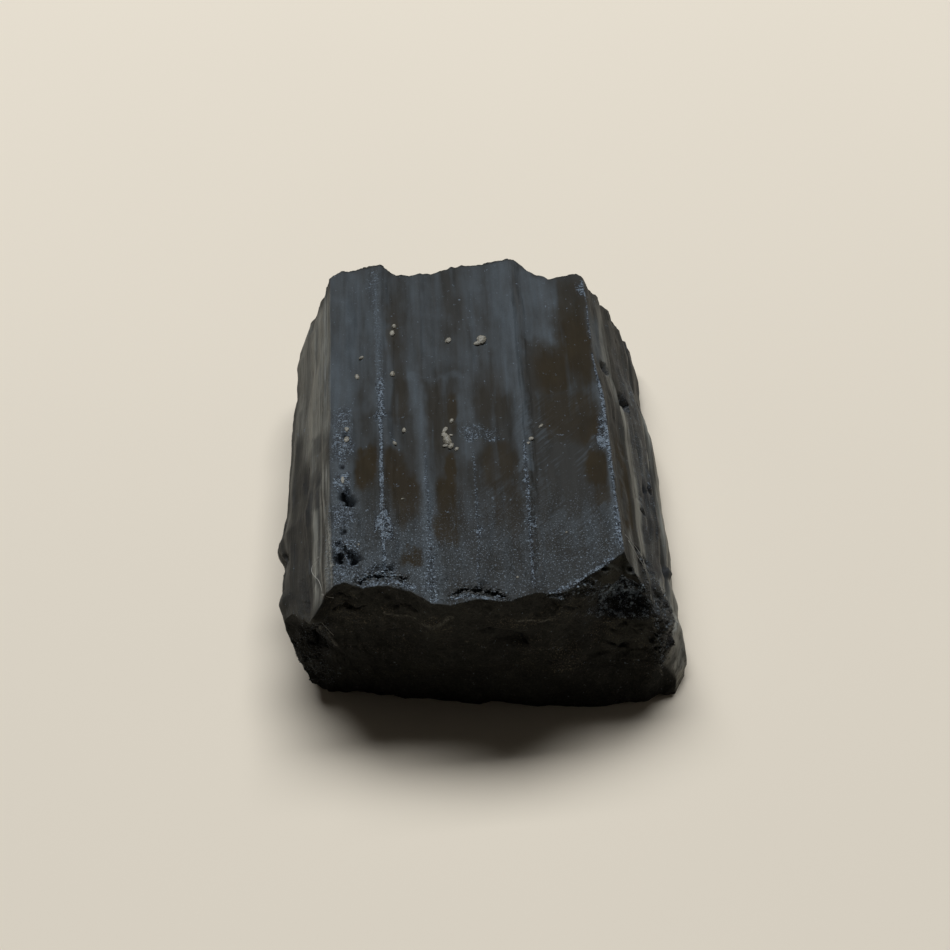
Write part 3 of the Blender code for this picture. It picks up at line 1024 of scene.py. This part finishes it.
def schorl_material(colours):
    """Black stone: glassy where it is clean, dusty on its ridges and grainy where it broke."""
    material, wire, shader = new_material("schorl_surface")
    powder, film, glassy, strip, side, broken = (
        wire.attribute(name)
        for name in ("powder", "film", "glassy", "strip", "side", "broken")
    )
    rubble, deep, front, streaked, olive, scratch, flecked = (
        wire.attribute(name)
        for name in ("rubble", "deep", "front", "streaked", "olive", "scratch", "flecked")
    )
    streaks = wire.noise((0.6, 9.0, 0.6), 2.0)
    lines = wire.noise((0.16, 7.0, 0.16), 2.0)
    slants = wire.noise((0.20, 3.2, 0.20), 2.0, 0.6, math.radians(42))
    clouds = wire.noise((1.6, 3.5, 1.6), 3.0)
    beads = wire.noise((0.5, 0.5, 0.5), 2.0)
    grit = wire.noise((0.19, 0.19, 0.19), 3.0, 0.65)
    sand = wire.noise((0.15, 0.15, 0.15), 2.0, 0.7)
    spark = wire.noise((0.11, 0.11, 0.11), 1.0)

    dust = film * 1.05 + (streaks - 0.5) * 1.2 + (clouds - 0.5) * 1.1
    dust = dust + front * 0.30 + (slants - 0.52) * streaked * 2.4
    colour = dust.clamped().mixed(opaque(colours.stone), opaque(colours.dust))
    glaze = glassy * (1.15 - (grit * 1.5 - 0.3).clamped() * front)
    glaze = (glaze - (streaks * 2.6 - 1.45).clamped() * 0.75 + (lines - 0.5) * 0.25).clamped()
    rich = tuple(channel * 1.45 for channel in colours.brown)
    amber = (clouds * 2.2 - 0.6).clamped().mixed(opaque(colours.brown), opaque(rich))
    colour = glaze.mixed(colour, amber)
    colour = (side * (1 - strip) * (1 - glaze) * (1 - film) * 0.65).mixed(colour, opaque(colours.stone))
    # Beige strips: partly worn dust, partly a painted reflection of the pale floor.
    worn = strip * (1 - glaze) * (lines.step(0.30, 0.62) * 0.6 + 0.4)
    colour = worn.clamped().mixed(colour, opaque(colours.worn))
    light = tuple(channel * 5.0 for channel in colours.broken)
    earth = (sand * 0.8 + grit * 0.7 + beads * 0.4 + clouds * 0.7 + olive * 0.55 - 1.12).clamped()
    earth = earth.mixed(opaque(colours.broken), opaque(light))
    colour = (broken * (1 - powder)).clamped().mixed(colour, earth)
    colour = (powder * 1.3 - 0.25).clamped().mixed(colour, opaque(colours.navy))
    # Painted shade: near-black gaps between the grains of the grit, the powder and the broken faces.
    hollow = (1 - sand.step(0.38, 0.54)) * (front * 0.55 + powder * 0.75 + broken * 0.5 + film * 0.12)
    colour = (hollow * (1 - glaze)).clamped().mixed(colour, opaque((0.006, 0.006, 0.006)))
    crumbly = (powder * 0.9 + (grit - 0.5) * 3.2 + (beads - 0.5) * 2.0 - 0.60).step(0.0, 0.4)
    colour = crumbly.mixed(colour, opaque(colours.powder))
    # Painted glints: bright specks on the grit, the powder and the rubble.
    specks = spark.step(0.61, 0.71) * (front * 0.42 + powder * 0.9 + rubble * 0.35 + film * 0.05)
    colour = (specks * (1 - glaze * 0.7)).clamped().mixed(colour, opaque(colours.painted_glint))
    flecks = spark.step(0.58, 0.64) * broken * (1 - rubble) * (beads * 3.0 - 1.6 + flecked).clamped()
    colour = flecks.clamped().mixed(colour, opaque(colours.rust))
    colour = (scratch * (grit * 1.8 - 0.55)).clamped().mixed(colour, opaque(colours.worn))
    # Painted shade in the holes and cracks, with the dark stains and blots, as near black.
    colour = (deep * 0.95).clamped().mixed(colour, opaque((0.004, 0.005, 0.007)))
    wire.feed(shader.inputs["Base Color"], colour)

    roughness = 0.72 + glaze * 0.13 + crumbly * 0.1 - side * 0.15 + (streaks - 0.5) * 0.15
    wire.feed(shader.inputs["Roughness"], roughness.clamped())
    height = lines * (0.3 + side * 1.2) * (1 - broken) + slants * streaked * 0.5
    height = height + grit * (0.25 + front * 1.0 + broken * 1.6 + powder * 1.2) * (1 - glaze * 0.85)
    bump = wire.node("ShaderNodeBump", {}, {"Strength": 0.55, "Distance": 0.07 * MM, "Height": height})
    wire.feed(shader.inputs["Normal"], bump)
    shader.inputs["IOR"].default_value = 1.63
    shader.inputs["Specular IOR Level"].default_value = 0.12
    return material


def crumb_material(colours):
    """Crushed stone: each crumb between black and powdery blue-white, its brightest tone a painted glint."""
    material, wire, shader = new_material("schorl_crumbs")
    tone = wire.attribute("tone")
    grit = wire.noise((0.08, 0.08, 0.08), 2.0)
    share = (tone * 0.85 + (grit - 0.5) * 0.5).clamped()
    wire.feed(shader.inputs["Base Color"], share.mixed(opaque(colours.stone), opaque(colours.painted_glint)))
    shader.inputs["Roughness"].default_value = 0.5
    shader.inputs["IOR"].default_value = 1.63
    shader.inputs["Specular IOR Level"].default_value = 0.2
    return material


def grain_material(colours):
    """Cream mineral with a grey mottle."""
    material, wire, shader = new_material("pale_grain")
    mottle = wire.noise((0.14, 0.14, 0.14), 3.0)
    shade = tuple(channel * 0.45 for channel in colours.grain)
    wire.feed(shader.inputs["Base Color"], mottle.step(0.35, 0.6).mixed(opaque(shade), opaque(colours.grain)))
    shader.inputs["Roughness"].default_value = 0.55
    bump = wire.node("ShaderNodeBump", {}, {"Strength": 0.5, "Distance": 0.03 * MM, "Height": mottle})
    wire.feed(shader.inputs["Normal"], bump)
    return material


def lint_material(colours):
    material, wire, shader = new_material("lint")
    twist = wire.noise((0.05, 0.05, 0.05), 1.0)
    dim = tuple(channel * 0.7 for channel in colours.lint)
    wire.feed(shader.inputs["Base Color"], twist.mixed(opaque(dim), opaque(colours.lint)))
    shader.inputs["Roughness"].default_value = 0.8
    return material


def add_piece(name, mesh, material):
    """Puts a finished mesh in the scene on the crystal's body."""
    mesh.name = name
    mesh.materials.clear()
    mesh.materials.append(material)
    piece = bpy.data.objects.new(name, mesh)
    bpy.context.scene.collection.objects.link(piece)
    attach(piece, BODY)
    return piece


class TOURMALINE_OT_crystal(bpy.types.Operator):
    """Make the crystal's striated, chipped and worn surface"""
    bl_idname = "tourmaline.crystal"
    bl_label = "Crystal"

    def execute(self, context):
        scene = context.scene
        mesh = crystal_mesh(scene.tourmaline_sizes)
        piece = add_piece("tourmaline_surface", mesh, schorl_material(scene.tourmaline_colours))
        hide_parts(NODE)
        return {"FINISHED"}


def surface_tree():
    """The finished crystal surface, for placing small things on it."""
    mesh = bpy.data.objects["tourmaline_surface"].data
    faces = [tuple(face.vertices) for face in mesh.polygons]
    return bvhtree.BVHTree.FromPolygons([vert.co for vert in mesh.vertices], faces)


def add_lump(shape, place, radii, turn, rough, seed):
    """Adds one rough lump of about 20 faces at a place."""
    lump = bmesh.ops.create_icosphere(shape, subdivisions=1, radius=1.0)["verts"]
    for vert in lump:
        vert.co *= 1 + rough * noise.noise(vert.co * 1.7 + Vector((seed * 3.7, 0, seed)))
    matrix = Matrix.Translation(place) @ turn @ Matrix.Diagonal((*radii, 1.0))
    bmesh.ops.transform(shape, matrix=matrix, verts=lump)
    return lump


class TOURMALINE_OT_crumbs(bpy.types.Operator):
    """Scatter crumbs of crushed stone in the hollows and along the cracks"""
    bl_idname = "tourmaline.crumbs"
    bl_label = "Crumbs"

    def execute(self, context):
        scene = context.scene
        sizes = scene.tourmaline_sizes
        crystal = bpy.data.objects["tourmaline_surface"].data
        rubble = np.empty(len(crystal.vertices), np.float32)
        crystal.attributes["rubble"].data.foreach_get("value", rubble)
        powder = np.empty(len(crystal.vertices), np.float32)
        crystal.attributes["powder"].data.foreach_get("value", powder)
        chance = np.clip(rubble, 0, 1) * (0.4 + 1.6 * powder) + 0.9 * np.clip(powder - 0.45, 0, 1)
        picks = np.random.default_rng(4).choice(
            len(chance), size=sizes.crumbs, replace=False, p=chance / chance.sum())
        draw = random.Random(8)
        shape = bmesh.new()
        tones = []
        for start in range(0, len(picks), 50):
            batch = bmesh.new()
            for index in picks[start:start + 50]:
                vert = crystal.vertices[int(index)]
                radius = sizes.crumb_size * draw.uniform(0.3, 1.0) ** 1.5 * (0.9 + 0.6 * rubble[index])
                corner = abs(vert.co.x) > 12 * MM
                radius *= 0.7 if corner else 1.0
                radii = (radius * 1.2, radius * draw.uniform(0.5, 0.9), radius * draw.uniform(0.4, 0.9))
                turn = Matrix.Rotation(draw.gauss(0, 0.6), 4, vert.normal)
                place = vert.co - vert.normal * radius * 0.2
                lump = add_lump(batch, place, radii, turn, 0.6, draw.uniform(0, 50))
                # Painted light: crumbs on the near face, which lies in shade, get a brighter tone, and crumbs
                # facing right a darker one.
                painted_light = 3.2 if vert.normal.y < -0.5 else 0.5 if vert.normal.x > 0.5 else 1.0
                # Crumbs on the near corners are darker in colour.
                painted_light *= 0.45 if corner else 1.0
                tone = painted_light * draw.random() ** (1.5 + 0.9 * rubble[index]) * (0.06 + 1.1 * powder[index])
                tones += [min(1.0, tone)] * len(lump)
            bmesh.ops.recalc_face_normals(batch, faces=batch.faces)
            part = bpy.data.meshes.new("batch")
            batch.to_mesh(part)
            batch.free()
            shape.from_mesh(part)
            bpy.data.meshes.remove(part)
        mesh = bpy.data.meshes.new("crumbs")
        shape.to_mesh(mesh)
        shape.free()
        keep_values(mesh, {"tone": np.array(tones)})
        piece = add_piece("fracture_crumbs", mesh, crumb_material(scene.tourmaline_colours))
        return {"FINISHED"}


class TOURMALINE_OT_grains(bpy.types.Operator):
    """Set the pale mineral grains on the top"""
    bl_idname = "tourmaline.grains"
    bl_label = "Pale grains"

    def execute(self, context):
        tree = surface_tree()
        shape = bmesh.new()
        for number, (x, y, long, wide, turn) in enumerate(GRAINS):
            above = (Vector((x, y, HEIGHT + 2)) - Vector(MIDDLE)) * MM
            place, normal, _, _ = tree.ray_cast(above, Vector((0, 0, -1)))
            if place is None:
                raise RuntimeError(f"grain {number} isn't over the crystal")
            radii = (long * MM, wide * MM, min(long, wide) * 0.55 * MM)
            rotation = Matrix.Rotation(turn, 4, "Z")
            add_lump(shape, place, radii, rotation, 0.6, number)
        bmesh.ops.subdivide_edges(shape, edges=shape.edges, cuts=1, use_grid_fill=True, smooth=0.6)
        bmesh.ops.recalc_face_normals(shape, faces=shape.faces)
        mesh = bpy.data.meshes.new("grains")
        shape.to_mesh(mesh)
        shape.free()
        add_piece("pale_grains", mesh, grain_material(context.scene.tourmaline_colours))
        return {"FINISHED"}


def fibre_mesh(points, thickness):
    """A round fibre along smooth points."""
    curve = bpy.data.curves.new("fibre", "CURVE")
    curve.dimensions = "3D"
    curve.bevel_depth = thickness / 2
    curve.bevel_resolution = 1
    curve.resolution_u = 8
    curve.use_fill_caps = True
    spline = curve.splines.new("NURBS")
    spline.points.add(len(points) - 1)
    for point, place in zip(spline.points, points):
        point.co = (*((Vector(place) - Vector(MIDDLE)) * MM), 1.0)
    spline.use_endpoint_u = True
    spline.order_u = 3
    holder = bpy.data.objects.new("fibre", curve)
    bpy.context.scene.collection.objects.link(holder)
    graph = bpy.context.evaluated_depsgraph_get()
    mesh = bpy.data.meshes.new_from_object(holder.evaluated_get(graph))
    bpy.data.objects.remove(holder)
    return mesh


class TOURMALINE_OT_lint(bpy.types.Operator):
    """Lay the lint fibres over the near left corner"""
    bl_idname = "tourmaline.lint"
    bl_label = "Lint"

    def execute(self, context):
        shape = bmesh.new()
        for points in LINT:
            shape.from_mesh(fibre_mesh(points, context.scene.tourmaline_sizes.lint_thickness))
        bmesh.ops.remove_doubles(shape, verts=shape.verts, dist=0.001 * MM)
        bmesh.ops.recalc_face_normals(shape, faces=shape.faces)
        mesh = bpy.data.meshes.new("lint")
        shape.to_mesh(mesh)
        shape.free()
        mesh.shade_smooth()
        add_piece("lint_fibres", mesh, lint_material(context.scene.tourmaline_colours))
        return {"FINISHED"}


def add_light(name, place, aim, size, energy, colour):
    light = bpy.data.lights.new(name, "AREA")
    light.shape = "RECTANGLE"
    light.size, light.size_y = size
    light.energy = energy
    light.color = colour
    holder = bpy.data.objects.new(name, light)
    holder.location = place
    holder.rotation_euler = (Vector(aim) - Vector(place)).to_track_quat("-Z", "Y").to_euler()
    bpy.context.scene.collection.objects.link(holder)
    return holder


def floor_material(colours):
    """A matt painted board with a faint unevenness."""
    material, wire, shader = new_material("floor")
    clouds = wire.noise((60.0, 90.0, 60.0), 2.0)
    dim = tuple(channel * 0.96 for channel in colours.floor)
    wire.feed(shader.inputs["Base Color"], clouds.mixed(opaque(dim), opaque(colours.floor)))
    shader.inputs["Roughness"].default_value = 0.75
    shader.inputs["Specular IOR Level"].default_value = 0.25
    return material


class TOURMALINE_OT_stage(bpy.types.Operator):
    """Add the pale floor, the soft lights and the camera"""
    bl_idname = "tourmaline.stage"
    bl_label = "Stage"

    def execute(self, context):
        scene = context.scene
        shape = bmesh.new()
        bmesh.ops.create_grid(shape, x_segments=1, y_segments=1, size=3.0)
        mesh = bpy.data.meshes.new("floor")
        shape.to_mesh(mesh)
        shape.free()
        mesh.materials.append(floor_material(scene.tourmaline_colours))
        floor = bpy.data.objects.new("floor", mesh)
        scene.collection.objects.link(floor)

        add_light("window", (-0.05, 0.61, 0.92), (0, 0, 0), (1.1, 0.42), 16.9, (0.92, 0.96, 1.0))
        add_light("left card", (-0.8, 0.45, 0.12), (0, 0, 0.01), (0.7, 0.25), 0.48, (1.0, 0.93, 0.82))
        add_light("right card", (0.8, 0.12, 0.14), (0, 0, 0.01), (0.7, 0.25), 0.52, (1.0, 0.93, 0.82))

        world = bpy.data.worlds.new("studio")
        world.use_nodes = True
        shade = world.node_tree.nodes["Background"]
        shade.inputs["Color"].default_value = (1.0, 0.93, 0.84, 1.0)
        shade.inputs["Strength"].default_value = 0.02
        scene.world = world
        scene.view_settings.view_transform = "Standard"

        lens = bpy.data.cameras.new("camera")
        lens.lens = LENS
        lens.sensor_width = 36.0
        lens.clip_start = 0.001
        camera = bpy.data.objects.new("camera", lens)
        camera.location = Vector(CAMERA_PLACE) * MM
        camera.rotation_euler = (math.radians(CAMERA_TILT), 0, math.radians(CAMERA_TURN))
        scene.collection.objects.link(camera)
        scene.camera = camera
        return {"FINISHED"}


STEPS = (
    TOURMALINE_OT_crystal,
    TOURMALINE_OT_crumbs,
    TOURMALINE_OT_grains,
    TOURMALINE_OT_lint,
    TOURMALINE_OT_stage,
)


class TOURMALINE_PT_panel(bpy.types.Panel):
    bl_label = "Tourmaline"
    bl_space_type = "VIEW_3D"
    bl_region_type = "UI"
    bl_category = "Tourmaline"

    def draw(self, context):
        for group in (context.scene.tourmaline_sizes, context.scene.tourmaline_colours):
            for name in group.__annotations__:
                self.layout.prop(group, name)
        for step in STEPS:
            self.layout.operator(step.bl_idname)


CLASSES = (TourmalineSizes, TourmalineColours, *STEPS, TOURMALINE_PT_panel)


def register():
    for item in CLASSES:
        bpy.utils.register_class(item)
    bpy.types.Scene.tourmaline_sizes = PointerProperty(type=TourmalineSizes)
    bpy.types.Scene.tourmaline_colours = PointerProperty(type=TourmalineColours)


def unregister():
    del bpy.types.Scene.tourmaline_colours
    del bpy.types.Scene.tourmaline_sizes
    for item in reversed(CLASSES):
        bpy.utils.unregister_class(item)


def main():
    register()
    for step in STEPS:
        group, name = step.bl_idname.split(".")
        getattr(getattr(bpy.ops, group), name)()


if __name__ == "__main__":
    main()
